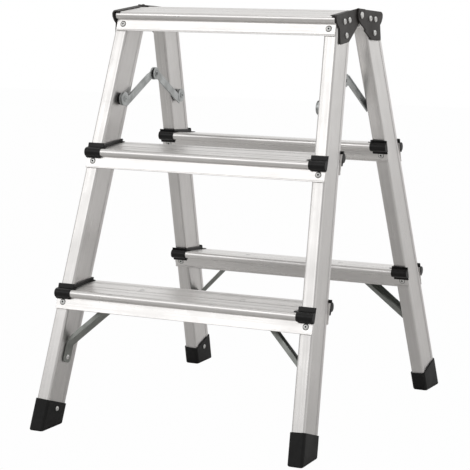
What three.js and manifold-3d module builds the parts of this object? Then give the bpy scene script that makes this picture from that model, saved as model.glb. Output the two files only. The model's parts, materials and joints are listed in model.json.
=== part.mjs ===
// Double-sided folding step ladder: two leaning frames hinged at the top and held open
// by a folding stay on each side.
// Millimetres, +Z up, treads along X, the front frame at -Y.
// The origin is on the floor, midway between the feet.
import * as THREE from "three";
import { mergeVertices } from "three/addons/utils/BufferGeometryUtils.js";
import Module from "manifold-3d";

const DEG = Math.PI / 180;
const GAP = 0.3; // clearance between pieces that touch

// Stiles: box sections that lean in towards the hinge and splay outwards towards the floor.
const LEAN = 18.26 * DEG;
const SPLAY = 3.5 * DEG;
const STILE_WIDTH = 22.2;
const STILE_DEPTH = 54;
const STILE_CORNER = 3.5;
const STILE_WALL = 1.6;
const STILE_OFFSET = 254.7; // from the floor origin to a frame's centre plane, square to the stiles
const STILE_BASE_X = 219.1; // stile centre line where it crosses the frame's own base line

// Treads: stations along the frame, and the section's sizes.
const TREAD_STATIONS = { bottom: 149.3, middle: 380.9, top: 609.6 };
const TREAD_TILT = 4.4 * DEG; // inner edge higher than the outer edge
const PLATE_THICKNESS = 1.8;
const SHEET = 1.5; // wall of the noses and aprons
const NOSE_RADIUS = 6.25;
const FRONT_NOSE_Y = -36.75; // centres of the two bullnoses
const REAR_NOSE_Y = 31.25;
const APRON_BOTTOM = -30.5;
const HEM_HEIGHT = 3;
const HEM_PROUD = 0.8;
const GROOVES = [-21, 15.5];
const GROOVE_WIDTH = 1.2;
const GROOVE_DEPTH = 0.6;
const TOP_TREAD_HALF_LENGTH = 192.4;
const RIVET_DROP = 33.6; // from a tread's station down to its apron rivets, along the frame

// End collars on the middle and bottom treads.
const COLLAR_WALL = 1.1;
const COLLAR_END = 1;
const COLLAR_REACH = 2.2; // past the stile's inner side
const COLLAR_TAB = { outer: 7.4, inner: 4.6 }; // up the stile's face, above the tread
const COLLAR_LIP = { outer: 0.9, inner: 3.9 }; // down the apron, below the tread's nose
const COLLAR_TAB_THICKNESS = 2.2;
const COLLAR_RIM = 5;
const COLLAR_RIM_WIDTH = 3;
const COLLAR_POINT = 8.4; // the flange's pointed tips, past the stile's inner side

// Foot boots.
const BOOT_WALL = 1.7;
const BOOT_CORNER = 5;
const BOOT_TOP = -41.4; // along the stile
const SOLE = 4;
const FOOT_RIVET_ALONG = -52;

// Hinge: pin height, plates and their rivets, placed from the pin.
const PIN_HEIGHT = 654.5;
const PIN_RADIUS = 3;
const PIN_CLEARANCE = 0.5;
const PIN_HEAD = 5.5;
const PLATE_SHEET = 2.6;
const EAR_RADIUS = 12;
const EAR_STEP = 3.6; // the rear ear laps outside the front ear
const LIP_DEPTH = 8;
const LIP_SHEET = 1.6;
const PLATE_RIVETS = [
  [-43.7, -6.7],
  [-64.2, -8.5],
  [-58.7, -30],
];
const RIVET_SHANK = 2;
const RIVET_HOLE = 2.3;

// Folding stays: the strap crosses the line from pivot to centre, low at the pivot and high at the centre.
const STAY_PIVOT = { front: [-101, 515], rear: [-99, 508] };
const STAY_CENTRE = [0, 551];
const STAY_RADIUS = 10.5;
const STAY_HALF_WIDTH = 6.4;
const STAY_DROP = { front: 7.8, rear: 9 }; // from the pivot down to the strap's centre line
const STAY_RISE = { front: 3.2, rear: 5 }; // from the centre joint up to it
const STAY_SHEET = 1.5;
const STAY_WEB_X = { front: 171.2, rear: 173.3 };
const STAY_FLANGE = 3;
const STAY_LOWER_FLANGE_END = 27; // short of the centre joint
const STAY_UPPER_FLANGE_END = { front: 14, rear: -1 };
const STAY_HOLE = 3;
const STAY_SHANK = 2.7;

// Corner braces between the stiles and the bottom treads.
const BRACE_WIDTH = 21;
const BRACE_FLANGE = 5.6;
const BRACE_FOOT = 22;
const BRACE_LOWER_BEND = 52;
const BRACE_UPPER_BEND = [112, 141];
const BRACE_TAB_END = 74;

const ARC_STEPS = 10;
const ROUND_STEPS = 12;
const FAR = 900; // longer than the ladder, for cutting blocks

const aluminium = () => new THREE.MeshStandardMaterial({ color: 0xd9dad8, roughness: 0.35, metalness: 0.9 });
const blackPlastic = () =>
  new THREE.MeshStandardMaterial({ color: 0x17181a, roughness: 0.55, metalness: 0 });
const rubber = () => new THREE.MeshStandardMaterial({ color: 0x141415, roughness: 0.75, metalness: 0 });
const darkSteel = () => new THREE.MeshStandardMaterial({ color: 0x25272b, roughness: 0.45, metalness: 0.3 });
const zinc = () => new THREE.MeshStandardMaterial({ color: 0xb9babb, roughness: 0.4, metalness: 0.9 });

const wasm = await Module();
wasm.setup();

// Solids --------------------------------------------------------------------------------------

function solidOf(geometry, matrix = new THREE.Matrix4()) {
  const bare = geometry.clone().applyMatrix4(matrix);
  bare.deleteAttribute("normal");
  bare.deleteAttribute("uv");
  const merged = mergeVertices(bare, 1e-4);
  return new wasm.Manifold(
    new wasm.Mesh({
      numProp: 3,
      vertProperties: merged.attributes.position.array,
      triVerts: new Uint32Array(merged.index.array),
    }),
  );
}

function meshOf(name, solid, material) {
  const { vertProperties, triVerts } = solid.getMesh();
  const geometry = new THREE.BufferGeometry()
    .setAttribute("position", new THREE.BufferAttribute(vertProperties, 3))
    .setIndex(new THREE.BufferAttribute(triVerts, 1));
  const mesh = new THREE.Mesh(geometry, material);
  mesh.name = name;
  return mesh;
}

const joined = (...solids) => solids.reduce((sum, solid) => sum.add(solid));

function polygon(points) {
  return new THREE.Shape(points.map(([u, v]) => new THREE.Vector2(u, v)));
}

// Points of an arc, angles in degrees.
function arc(u, v, radius, from, to, steps = ARC_STEPS) {
  return Array.from({ length: steps + 1 }, (_, i) => {
    const angle = (from + ((to - from) * i) / steps) * DEG;
    return [u + radius * Math.cos(angle), v + radius * Math.sin(angle)];
  });
}

function extruded(shape, depth, curveSegments = 3) {
  return new THREE.ExtrudeGeometry(shape, { depth, bevelEnabled: false, curveSegments });
}

// A (y, z) outline, extruded along X between two stations.
function alongX(shape, from, to) {
  const axes = new THREE.Matrix4().makeBasis(
    new THREE.Vector3(0, 1, 0),
    new THREE.Vector3(0, 0, 1),
    new THREE.Vector3(1, 0, 0),
  );
  return solidOf(extruded(shape, to - from).applyMatrix4(axes).translate(from, 0, 0));
}

// An (x, z) outline, extruded along Y between two stations.
function alongY(shape, from, to) {
  return solidOf(extruded(shape, to - from).rotateX(90 * DEG).translate(0, to, 0));
}

// An (x, y) outline, extruded along Z between two stations.
function alongZ(shape, from, to) {
  return solidOf(extruded(shape, to - from).translate(0, 0, from));
}

function box(low, high) {
  const size = high.map((value, i) => value - low[i]);
  const centre = high.map((value, i) => (value + low[i]) / 2);
  return solidOf(new THREE.BoxGeometry(...size).translate(...centre));
}

// A turned piece about the X axis from (x, radius) stations.
function turned(stations) {
  const points = stations.map(([x, radius]) => new THREE.Vector2(radius, x));
  return solidOf(new THREE.LatheGeometry(points, ROUND_STEPS).rotateZ(-90 * DEG));
}

function rodX(radius, from, to) {
  return turned([
    [from, 0],
    [from, radius],
    [to, radius],
    [to, 0],
  ]);
}

function inSpace(solid, matrix) {
  return solid.transform(matrix.elements);
}

// Frames of reference -------------------------------------------------------------------------

function placed(parent, x, y, z, turnX = 0, turnY = 0) {
  const group = new THREE.Group();
  group.position.set(x, y, z);
  group.rotation.set(turnX, turnY, 0);
  group.updateMatrix();
  if (parent) parent.add(group);
  return group;
}

const leanMatrix = placed(null, 0, 0, 0, -LEAN).matrix;
const stileMatrix = placed(null, STILE_BASE_X, -STILE_OFFSET, 0, 0, -SPLAY).matrix;
const treadMatrix = (level) =>
  placed(null, 0, -STILE_OFFSET, TREAD_STATIONS[level], LEAN + TREAD_TILT).matrix;

// The hinge pin's place on the stile's outer side, in the stile's frame.
const PLATE_X = STILE_WIDTH / 2 + GAP;
const PIN_IN_STILE = [
  PLATE_X,
  STILE_OFFSET - PIN_HEIGHT * Math.sin(LEAN),
  (PIN_HEIGHT * Math.cos(LEAN) - PLATE_X * Math.sin(SPLAY)) / Math.cos(SPLAY),
];
const plateMatrix = placed(null, ...PIN_IN_STILE, LEAN).matrix;

const stileInHalf = leanMatrix.clone().multiply(stileMatrix);
const plateInHalf = stileInHalf.clone().multiply(plateMatrix);
const floorToStile = stileInHalf.clone().invert();
const topTreadToStile = stileMatrix.clone().invert().multiply(treadMatrix("top"));
const halfToPlate = plateInHalf.clone().invert();
const pinX = new THREE.Vector3().applyMatrix4(plateInHalf).x;

// Distance from the centre plane to the stiles' outer and inner sides at a station along the frame.
const outerSide = (along) => STILE_BASE_X + STILE_WIDTH / 2 / Math.cos(SPLAY) - along * Math.tan(SPLAY);
const innerSide = (along) => outerSide(along) - STILE_WIDTH / Math.cos(SPLAY);

const belowLevel = (height) => box([-FAR, -FAR, height - FAR], [FAR, FAR, height]);

// Stiles and feet -----------------------------------------------------------------------------

function roundedRectangle(width, depth, radius) {
  const shape = new THREE.Shape();
  const u = width / 2 - radius;
  const v = depth / 2 - radius;
  shape.absarc(u, v, radius, 0, 90 * DEG);
  shape.absarc(-u, v, radius, 90 * DEG, 180 * DEG);
  shape.absarc(-u, -v, radius, 180 * DEG, 270 * DEG);
  shape.absarc(u, -v, radius, 270 * DEG, 360 * DEG);
  return shape;
}

function stileSection(grow) {
  return roundedRectangle(STILE_WIDTH + 2 * grow, STILE_DEPTH + 2 * grow, STILE_CORNER + grow);
}

function stileSolid(half) {
  const bottom = -STILE_OFFSET * Math.tan(LEAN) * 2;
  const holes = [
    ...PLATE_RIVETS.map(([y, z]) => inSpace(rodX(RIVET_HOLE, -6, 1).translate(0, y, z), plateMatrix)),
    inSpace(rodX(STAY_HOLE, 170, 190).translate(0, ...STAY_PIVOT[half]), floorToStile),
    rodX(RIVET_HOLE, -STILE_WIDTH, 0).translate(0, 0, FOOT_RIVET_ALONG),
  ];
  const aboveTread = box([-FAR, -FAR, -PLATE_THICKNESS - GAP], [FAR, FAR, FAR]);
  const length = [bottom, TREAD_STATIONS.top + STILE_DEPTH];
  return alongZ(stileSection(0), ...length)
    .subtract(alongZ(stileSection(-STILE_WALL), length[0] - 1, length[1] + 1))
    .subtract(inSpace(belowLevel(SOLE + GAP), floorToStile))
    .subtract(inSpace(aboveTread, topTreadToStile))
    .subtract(joined(...holes));
}

function bootSolid() {
  const width = STILE_WIDTH + 2 * (GAP + BOOT_WALL);
  const depth = STILE_DEPTH + 2 * (GAP + BOOT_WALL);
  const outer = alongZ(roundedRectangle(width, depth, BOOT_CORNER), -FAR / 4, BOOT_TOP);
  const socket = alongZ(stileSection(GAP), -FAR / 4, BOOT_TOP + 1);
  const rivetHole = rodX(RIVET_HOLE, -width, 0).translate(0, 0, FOOT_RIVET_ALONG);
  return outer
    .subtract(inSpace(belowLevel(0), floorToStile))
    .subtract(socket.subtract(inSpace(belowLevel(SOLE), floorToStile)))
    .subtract(rivetHole);
}

// Rivets --------------------------------------------------------------------------------------

// A round-head rivet along X: the head's underside at 0, the shank running to -length.
function rivetStations(length, head, height) {
  return [
    [-length, 0],
    [-length, RIVET_SHANK],
    [0, RIVET_SHANK],
    [0, head],
    [0.35 * height, 0.97 * head],
    [0.7 * height, 0.75 * head],
    [0.93 * height, 0.4 * head],
    [height, 0],
  ];
}

// Treads --------------------------------------------------------------------------------------

// The stile's outer (side = -1) or inner (side = 1) face across a tread's section, moved
// away from the stile.
function faceLine(side, away) {
  const slant = LEAN + TREAD_TILT;
  return (z) => (side * (STILE_DEPTH / 2 + away)) / Math.cos(slant) + z * Math.tan(slant);
}

// One long edge of a tread: hollow bullnose and hanging apron with a hem along its foot.
function railSolid(side, half) {
  const nose = side < 0 ? FRONT_NOSE_Y : REAR_NOSE_Y;
  const inside = faceLine(side, GAP);
  const outside = faceLine(side, GAP + SHEET);
  const hem = faceLine(side, GAP + SHEET + HEM_PROUD);
  const under = -2 * NOSE_RADIUS;
  const hemTop = APRON_BOTTOM + HEM_HEIGHT;
  const turn = side < 0 ? [90, 270] : [90, -90];
  const outline = polygon([
    [inside(0), 0],
    ...arc(nose, -NOSE_RADIUS, NOSE_RADIUS, ...turn),
    [outside(under), under],
    [outside(hemTop), hemTop],
    [hem(hemTop - HEM_PROUD), hemTop - HEM_PROUD],
    [hem(APRON_BOTTOM + HEM_PROUD), APRON_BOTTOM + HEM_PROUD],
    [outside(APRON_BOTTOM), APRON_BOTTOM],
    [inside(APRON_BOTTOM), APRON_BOTTOM],
  ]);
  const hollow = polygon([
    [outside(-SHEET), -SHEET],
    ...arc(nose, -NOSE_RADIUS, NOSE_RADIUS - SHEET, ...turn),
    [outside(under + SHEET), under + SHEET],
  ]);
  return alongX(outline, -half, half).subtract(alongX(hollow, -half - 1, half + 1));
}

function plateShape() {
  const front = faceLine(-1, GAP + SHEET / 2);
  const rear = faceLine(1, GAP + SHEET / 2);
  const grooves = GROOVES.flatMap((y) => [
    [y - GROOVE_WIDTH / 2, 0],
    [y, -GROOVE_DEPTH],
    [y + GROOVE_WIDTH / 2, 0],
  ]);
  return polygon([
    [front(0), 0],
    ...grooves,
    [rear(0), 0],
    [rear(-PLATE_THICKNESS), -PLATE_THICKNESS],
    [front(-PLATE_THICKNESS), -PLATE_THICKNESS],
  ]);
}

const treadHalfLength = (level) =>
  level === "top" ? TOP_TREAD_HALF_LENGTH : outerSide(TREAD_STATIONS[level] - RIVET_DROP);

// The plate runs over the stiles' cut ends on the top tread, and fits between the stiles on the others.
function treadSolid(level) {
  const half = treadHalfLength(level);
  const tallest = TREAD_STATIONS[level] + (STILE_DEPTH / 2) * Math.tan(LEAN + TREAD_TILT);
  const plateHalf = level === "top" ? half : innerSide(tallest) - GAP;
  return joined(
    railSolid(-1, half),
    railSolid(1, half),
    alongX(plateShape(), -plateHalf, plateHalf),
  );
}

// End collar around a tread's noses on the right, with a rim along the stile.
function collarSolid(level) {
  const end = treadHalfLength(level);
  const inner = innerSide(TREAD_STATIONS[level]);
  const start = inner - COLLAR_REACH;
  const pieces = [];
  for (const side of [-1, 1]) {
    const nose = side < 0 ? FRONT_NOSE_Y : REAR_NOSE_Y;
    const turn = side < 0 ? [90, 270] : [90, -90];
    const tabTop = side < 0 ? COLLAR_TAB.outer : COLLAR_TAB.inner;
    const lipDepth = side < 0 ? COLLAR_LIP.outer : COLLAR_LIP.inner;
    const under = -2 * NOSE_RADIUS;
    const face = faceLine(side, GAP);
    const apron = faceLine(side, 2 * GAP + SHEET);
    const tab = faceLine(side, GAP + COLLAR_TAB_THICKNESS);
    const lipFace = faceLine(side, 2 * GAP + SHEET + COLLAR_TAB_THICKNESS);
    const thick = GAP + COLLAR_WALL;
    const cover = polygon([
      [face(thick), thick],
      ...arc(nose, -NOSE_RADIUS, NOSE_RADIUS + thick, ...turn),
      [face(under - thick), under - thick],
    ]);
    const noseSpace = polygon([
      [0, GAP],
      ...arc(nose, -NOSE_RADIUS, NOSE_RADIUS + GAP, ...turn),
      [0, under - GAP],
    ]);
    const apronSpace = polygon([
      [0, under],
      [apron(under), under],
      [apron(APRON_BOTTOM), APRON_BOTTOM],
      [0, APRON_BOTTOM],
    ]);
    const shell = alongX(cover, start, end + GAP + COLLAR_END)
      .subtract(alongX(noseSpace, 0, end + GAP))
      .subtract(alongX(apronSpace, 0, end + GAP));
    const upright = polygon([
      [face(GAP), GAP],
      [face(tabTop), tabTop],
      [tab(tabTop), tabTop],
      [tab(GAP), GAP],
    ]);
    const lip = polygon([
      [apron(under), under],
      [apron(under - thick - lipDepth), under - thick - lipDepth],
      [lipFace(under - thick - lipDepth), under - thick - lipDepth],
      [lipFace(under), under],
    ]);
    const outerEnd = end + GAP + COLLAR_END;
    pieces.push(shell, alongX(upright, inner - COLLAR_RIM_WIDTH, outerEnd));
    pieces.push(alongX(lip, inner - GAP, outerEnd));
    const [corner, point, back] = [side * STILE_DEPTH * 0.3, nose - side * 3, nose];
    const flange = polygon([
      [inner + 1, corner],
      [inner - COLLAR_RIM_WIDTH, corner],
      [inner - COLLAR_POINT, point],
      [inner - COLLAR_POINT, point + side],
      [start, back],
      [inner + 1, back],
    ]);
    pieces.push(alongZ(flange, GAP, thick));
  }
  const rim = [
    [inner - COLLAR_RIM_WIDTH, faceLine(-1, 1)(2), GAP],
    [inner + 1, faceLine(1, 1)(2), COLLAR_RIM],
  ];
  pieces.push(box(...rim));
  const stileToTread = treadMatrix(level).invert().multiply(stileMatrix);
  const stileSpace = inSpace(alongZ(stileSection(GAP), 0, TREAD_STATIONS.top), stileToTread);
  return joined(...pieces).subtract(stileSpace);
}

// Corner brace: a channel strap from the stile's inner side up to the underside of the bottom tread.
function braceSolid() {
  const side = (along) => innerSide(along) - GAP;
  const lower = [side(BRACE_LOWER_BEND), BRACE_LOWER_BEND];
  const [upperX, upperZ] = BRACE_UPPER_BEND;
  const rise = Math.atan2(upperZ - lower[1], lower[0] - upperX);
  const beyond = 12;
  const end = [upperX - beyond, upperZ + beyond * Math.tan(rise)];
  const thin = STAY_SHEET / Math.cos(rise);
  const web = polygon([
    [side(BRACE_FOOT), BRACE_FOOT],
    lower,
    [end[0], end[1]],
    [end[0], end[1] - thin],
    [lower[0] - STAY_SHEET, lower[1] - thin + STAY_SHEET * Math.tan(rise)],
    [side(BRACE_FOOT) - STAY_SHEET, BRACE_FOOT],
  ]);
  const lift = BRACE_FLANGE / Math.cos(rise);
  const flange = polygon([
    [lower[0] - STAY_SHEET, lower[1]],
    [side(BRACE_LOWER_BEND + 8) - 1, lower[1] + 8],
    [lower[0] - 14, lower[1] + 14 * Math.tan(rise) + lift],
    [end[0], end[1] + lift],
    [end[0], end[1] - thin / 2],
  ]);
  const middle = -STILE_OFFSET;
  const edge = BRACE_WIDTH / 2;
  const strap = joined(
    alongY(web, middle - edge, middle + edge),
    alongY(flange, middle - edge, middle - edge + STAY_SHEET),
    alongY(flange, middle + edge - STAY_SHEET, middle + edge),
  );
  const underTread = -PLATE_THICKNESS - GAP;
  const tab = box([BRACE_TAB_END, -edge, underTread - STAY_SHEET], [upperX + 2, edge, underTread]);
  const treadSpace = box([-FAR, -FAR, underTread], [FAR, FAR, FAR]);
  return strap
    .subtract(
      inSpace(box([-FAR, -FAR, underTread - STAY_SHEET / 2], [FAR, FAR, FAR]), treadMatrix("bottom")),
    )
    .add(inSpace(tab, treadMatrix("bottom")))
    .subtract(inSpace(treadSpace, treadMatrix("bottom")));
}

// Hinge ---------------------------------------------------------------------------------------

// Height of the top tread's upper face above the pin, at a distance from the pin.
function treadTop(y) {
  const station = TREAD_STATIONS.top;
  const y0 = station * Math.sin(LEAN) - STILE_OFFSET * Math.cos(LEAN);
  const z0 = station * Math.cos(LEAN) + STILE_OFFSET * Math.sin(LEAN);
  return z0 + (y - y0) * Math.tan(TREAD_TILT) - PIN_HEIGHT;
}

const lipTop = (y) => treadTop(y) + GAP + LIP_SHEET;

// A plate hugs the tread's end and the stile's side, with an ear around the pin.
// The outer ear is stepped over the inner one and stands a little taller.
function hingePlateSolid(outerEar) {
  const ear = outerEar
    ? [[-0.3, -14.9], ...arc(-1, -1, EAR_RADIUS, -60, 45, 5), [8.9, 10.7], [-14, lipTop(-14)]]
    : [[-3, -14.5], ...arc(0, 0, EAR_RADIUS - 1, -80, 110, 8)];
  const outline = polygon([
    [-95, lipTop(-95)],
    [-97, -2],
    [-96, -7],
    [-91.5, -13],
    [-84.5, -18.5],
    [-85, -43.5],
    [-48, -40.5],
    ...ear,
  ]);
  const sheet = outerEar
    ? polygon([
        [0, -FAR],
        [PLATE_SHEET, -FAR],
        [PLATE_SHEET, -22],
        [PLATE_SHEET + EAR_STEP, -17.5],
        [PLATE_SHEET + EAR_STEP, FAR],
        [EAR_STEP, FAR],
        [EAR_STEP, -17],
        [0, -21.5],
      ])
    : polygon([
        [0, -FAR],
        [PLATE_SHEET, -FAR],
        [PLATE_SHEET, FAR],
        [0, FAR],
      ]);
  const lip = polygon([
    [-95, lipTop(-95)],
    [-95, treadTop(-95)],
    [-24, treadTop(-24)],
    [-24, lipTop(-24)],
  ]);
  const tread = inSpace(
    box([-FAR, -FAR, -FAR], [TOP_TREAD_HALF_LENGTH, FAR, GAP]),
    halfToPlate.clone().multiply(leanMatrix).multiply(treadMatrix("top")),
  );
  const holes = PLATE_RIVETS.map(([y, z]) => rodX(RIVET_HOLE, -1, PLATE_SHEET + 1).translate(0, y, z));
  return alongX(outline, 0, EAR_STEP + PLATE_SHEET)
    .intersect(alongZ(sheet, -60, 60))
    .add(alongX(lip, -LIP_DEPTH, PLATE_SHEET / 2).subtract(tread))
    .subtract(joined(...holes, rodX(PIN_RADIUS + PIN_CLEARANCE, -1, PLATE_SHEET + EAR_STEP + 1)));
}

// The pin's head sits outside the outer ear and its tail is spread inside the inner ear.
function pinSolid() {
  const head = PLATE_SHEET + EAR_STEP + 2 * GAP;
  const tail = -2 * GAP;
  return turned([
    [tail - 2, 0],
    [tail - 2, PIN_HEAD - 1],
    [tail, PIN_HEAD - 0.5],
    [tail, PIN_RADIUS],
    [head, PIN_RADIUS],
    [head, PIN_HEAD],
    [head + 1, PIN_HEAD - 0.2],
    [head + 1.9, PIN_HEAD - 1.8],
    [head + 2.3, 0],
  ]);
}

// Stays ---------------------------------------------------------------------------------------

const stayReach = (half) => [STAY_CENTRE[0] - STAY_PIVOT[half][0], STAY_CENTRE[1] - STAY_PIVOT[half][1]];
const stayTurn = (half) => Math.atan2(stayReach(half)[1], stayReach(half)[0]);

// Channel link along +Y from its pivot at the origin, the web at x = 0 and the flanges
// towards +X. The upper flange runs on to a tip above the centre joint, and the lower one
// stops short so that the links can fold.
function stayLinkSolid(half) {
  const length = Math.hypot(...stayReach(half));
  const edge = STAY_HALF_WIDTH;
  const tip = length + 1;
  const web = polygon([
    [0, -edge],
    [0, edge],
    [tip, edge],
    [length - 6, -edge],
  ]);
  const flange = (end) =>
    polygon([
      [STAY_SHEET / 2, 8],
      [STAY_FLANGE, 14],
      [STAY_FLANGE, end - 5],
      [STAY_SHEET / 2, end],
    ]);
  const lower = alongZ(flange(length - STAY_LOWER_FLANGE_END), -edge, STAY_SHEET - edge);
  const upper = alongZ(flange(length - STAY_UPPER_FLANGE_END[half]), edge - STAY_SHEET, edge);
  const climb = Math.atan2(STAY_DROP[half] + STAY_RISE[half], length);
  const crossing = placed(null, 0, 0, -STAY_DROP[half], climb).matrix;
  const ends = [0, length];
  return joined(
    inSpace(joined(alongX(web, 0, STAY_SHEET), lower, upper), crossing),
    ...ends.map((along) => rodX(STAY_RADIUS, 0, STAY_SHEET).translate(0, along, 0)),
  ).subtract(joined(...ends.map((along) => rodX(STAY_HOLE, -1, 3).translate(0, along, 0))));
}

// Shouldered rivet that carries a link off the stile's inner side. X runs outwards from the link's web.
function stayPivotSolid(half) {
  const shoulder = STAY_SHEET + GAP;
  const [y, z] = STAY_PIVOT[half];
  const along = y * Math.sin(LEAN) + z * Math.cos(LEAN);
  const stileFace = innerSide(along) - STAY_WEB_X[half] - 0.7;
  return turned([
    [-GAP - 2.4, 0],
    [-GAP - 2, 3],
    [-GAP - 1, 5.6],
    [-GAP, 6.2],
    [-GAP, STAY_SHANK],
    [shoulder, STAY_SHANK],
    [shoulder, 6],
    [stileFace, 6],
    [stileFace, STAY_SHANK],
    [stileFace + 4, STAY_SHANK],
    [stileFace + 4, 0],
  ]);
}

// Centre rivet, held in the front link and stopping short of the rear link.
function stayCentreSolid() {
  return turned([
    [-GAP - 2.4, 0],
    [-GAP - 2, 3],
    [-GAP - 1, 5.6],
    [-GAP, 6.2],
    [-GAP, STAY_SHANK],
    [STAY_SHEET + GAP / 2, STAY_SHANK],
    [STAY_SHEET + GAP / 2, 0],
  ]);
}

// Assembly ------------------------------------------------------------------------------------

const ladder = new THREE.Group();

const solids = {
  stile: { front: stileSolid("front"), rear: stileSolid("rear") },
  boot: bootSolid(),
  plateRivet: turned(rivetStations(7.2, 4.7, 2.1)),
  footRivet: turned(rivetStations(7, 4, 1.8)),
  hingePlate: { front: hingePlateSolid(false), rear: hingePlateSolid(true) },
  stay: { front: stayLinkSolid("front"), rear: stayLinkSolid("rear") },
  brace: braceSolid(),
};

for (const half of ["front", "rear"]) {
  const halfFrame = placed(ladder, 0, 0, 0);
  halfFrame.scale.y = half === "front" ? 1 : -1;
  const leaning = placed(halfFrame, 0, 0, 0, -LEAN);
  for (const level of ["top", "middle", "bottom"]) {
    const station = placed(leaning, 0, -STILE_OFFSET, TREAD_STATIONS[level], LEAN + TREAD_TILT);
    station.add(meshOf(`${half}_${level}_tread`, treadSolid(level), aluminium()));
  }
  for (const side of ["left", "right"]) {
    const hand = placed(leaning, 0, 0, 0);
    hand.scale.x = side === "right" ? 1 : -1;
    const stile = placed(hand, STILE_BASE_X, -STILE_OFFSET, 0, 0, -SPLAY);
    const place = `${half}_${side}`;
    stile.add(meshOf(`${place}_stile`, solids.stile[half], aluminium()));
    stile.add(meshOf(`${place}_foot`, solids.boot, rubber()));
    const footRivetX = -STILE_WIDTH / 2 - BOOT_WALL - 2 * GAP;
    const footRivet = placed(stile, footRivetX, 0, FOOT_RIVET_ALONG, 0, 180 * DEG);
    footRivet.add(meshOf(`${place}_foot_rivet`, solids.footRivet, zinc()));

    const plate = placed(stile, ...PIN_IN_STILE, LEAN);
    plate.add(meshOf(`${place}_hinge_plate`, solids.hingePlate[half], darkSteel()));
    PLATE_RIVETS.forEach(([y, z], i) => {
      const rivet = placed(plate, PLATE_SHEET + GAP, y, z);
      rivet.add(meshOf(`${place}_plate_rivet_${i + 1}`, solids.plateRivet, zinc()));
    });

    for (const level of ["middle", "bottom"]) {
      const station = placed(hand, 0, -STILE_OFFSET, TREAD_STATIONS[level], LEAN + TREAD_TILT);
      station.add(meshOf(`${place}_${level}_end_cap`, collarSolid(level), blackPlastic()));
    }
    hand.add(meshOf(`${place}_corner_brace`, solids.brace, zinc()));

    const upright = placed(halfFrame, 0, 0, 0);
    upright.scale.x = side === "right" ? 1 : -1;
    const link = placed(upright, STAY_WEB_X[half], ...STAY_PIVOT[half], stayTurn(half));
    link.add(meshOf(`${place}_stay`, solids.stay[half], zinc()));
    const pivot = placed(upright, STAY_WEB_X[half], ...STAY_PIVOT[half]);
    pivot.add(meshOf(`${place}_stay_pivot`, stayPivotSolid(half), zinc()));
    if (half === "front") {
      const centre = placed(upright, STAY_WEB_X.front, ...STAY_CENTRE);
      centre.add(meshOf(`${side}_stay_rivet`, stayCentreSolid(), zinc()));
    } else {
      const pin = placed(upright, pinX, 0, PIN_HEIGHT);
      pin.add(meshOf(`${side}_hinge_pin`, pinSolid(), darkSteel()));
    }
  }
}

export default ladder;
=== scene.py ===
import json
import math

import bmesh
import bpy
from mathutils import Matrix, Vector


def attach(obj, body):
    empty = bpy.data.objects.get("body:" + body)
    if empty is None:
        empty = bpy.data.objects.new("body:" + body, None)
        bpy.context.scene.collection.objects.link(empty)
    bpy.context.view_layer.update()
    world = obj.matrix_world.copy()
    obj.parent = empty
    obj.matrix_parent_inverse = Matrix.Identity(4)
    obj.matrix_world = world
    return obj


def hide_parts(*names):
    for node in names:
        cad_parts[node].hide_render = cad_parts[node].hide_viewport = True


bl_info = {
    "name": "Folding Step Ladder",
    "version": (1, 0, 0),
    "blender": (4, 5, 0),
    "location": "3D View > Sidebar > Step Ladder",
    "description": "Finishes the pieces of a folding double-sided step ladder and sets its stage",
    "category": "Object",
}

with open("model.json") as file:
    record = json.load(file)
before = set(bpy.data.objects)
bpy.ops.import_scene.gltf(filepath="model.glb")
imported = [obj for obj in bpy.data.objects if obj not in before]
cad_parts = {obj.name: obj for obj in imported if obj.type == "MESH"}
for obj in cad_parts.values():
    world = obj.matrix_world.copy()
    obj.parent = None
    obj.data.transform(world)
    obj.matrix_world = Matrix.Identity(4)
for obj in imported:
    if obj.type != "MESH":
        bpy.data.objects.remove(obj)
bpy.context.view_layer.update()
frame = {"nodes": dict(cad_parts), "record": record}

MM = 0.001
LEAN = math.radians(18.26)
SPLAY = math.radians(3.5)
TREAD_TILT = math.radians(4.4)
STILE_OFFSET = 0.2547  # from the floor origin to a frame's centre plane
STILE_HALF_WIDTH = 0.0111
STILE_HALF_DEPTH = 0.027
STILE_BASE_X = 0.2191
APRON_FACE = 0.0288  # from a frame's centre plane to the aprons' outer faces
TREAD_STATIONS = {"bottom": 0.1493, "middle": 0.3809, "top": 0.6096}  # along the stiles
TOP_TREAD_HALF_LENGTH = 0.1924
APRON_RIVET_DROP = {-1: 0.0337, 1: 0.0097}  # below a tread's station, on its two aprons
TREAD_GROOVES = (-0.0075, 0.0205)  # pressed lines besides the two deep ones, across the treads
GROOVE_CUTS = (-0.5, -0.15, 0.15, 0.5)  # across a pressed line, as shares of its width
GROOVE_FLOOR = 0.2  # half of a pressed line's floor, as a share of its width
PANEL_SLOPE = 1.0 * MM  # width of the step from a stile's land down to its panel
SOLE_EDGE = 0.3 * MM  # the soles' edges are lower than this
BOOT_RIM = 12 * MM  # the boots' upper edges are higher than this
PLATE_CORNER_REACH = 60 * MM  # the hinge plates' outer corners are farther out than this
BRACE_RIVET_ALONG = 0.0308
TREAD_PIN_ALONG = 0.122
TREAD_PIN_ACROSS = -0.009
TREAD_PIN_SINK = 0.8 * MM
TREAD_PIN_SIZE = 0.55  # against a flush rivet
BRACE_TAB_RIVET_X = 0.0885
BRACE_TAB_BELOW = 0.0036  # from a tread's top to the underside of the brace's tab
APRON_RIVET_INSET = 11.4 * MM  # from the ends of the aprons
APRON_RIVET_BORE = 1.6 * MM
APRON_STUB_LIFT = 0.12 * MM
BRACE_RIVET_BORE = 1.1 * MM
BRACE_FACE = 1.8 * MM  # from a stile's inner side to the brace's face
STAY_SHANK = 2.6 * MM  # radius of the stays' pivots
STAY_THICKNESS = 1.9 * MM
RIVET_STEPS = 28
WASHER_STEPS = 40
HALVES = {"front": 1, "rear": -1}
SIDES = {"left": -1, "right": 1}
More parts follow.
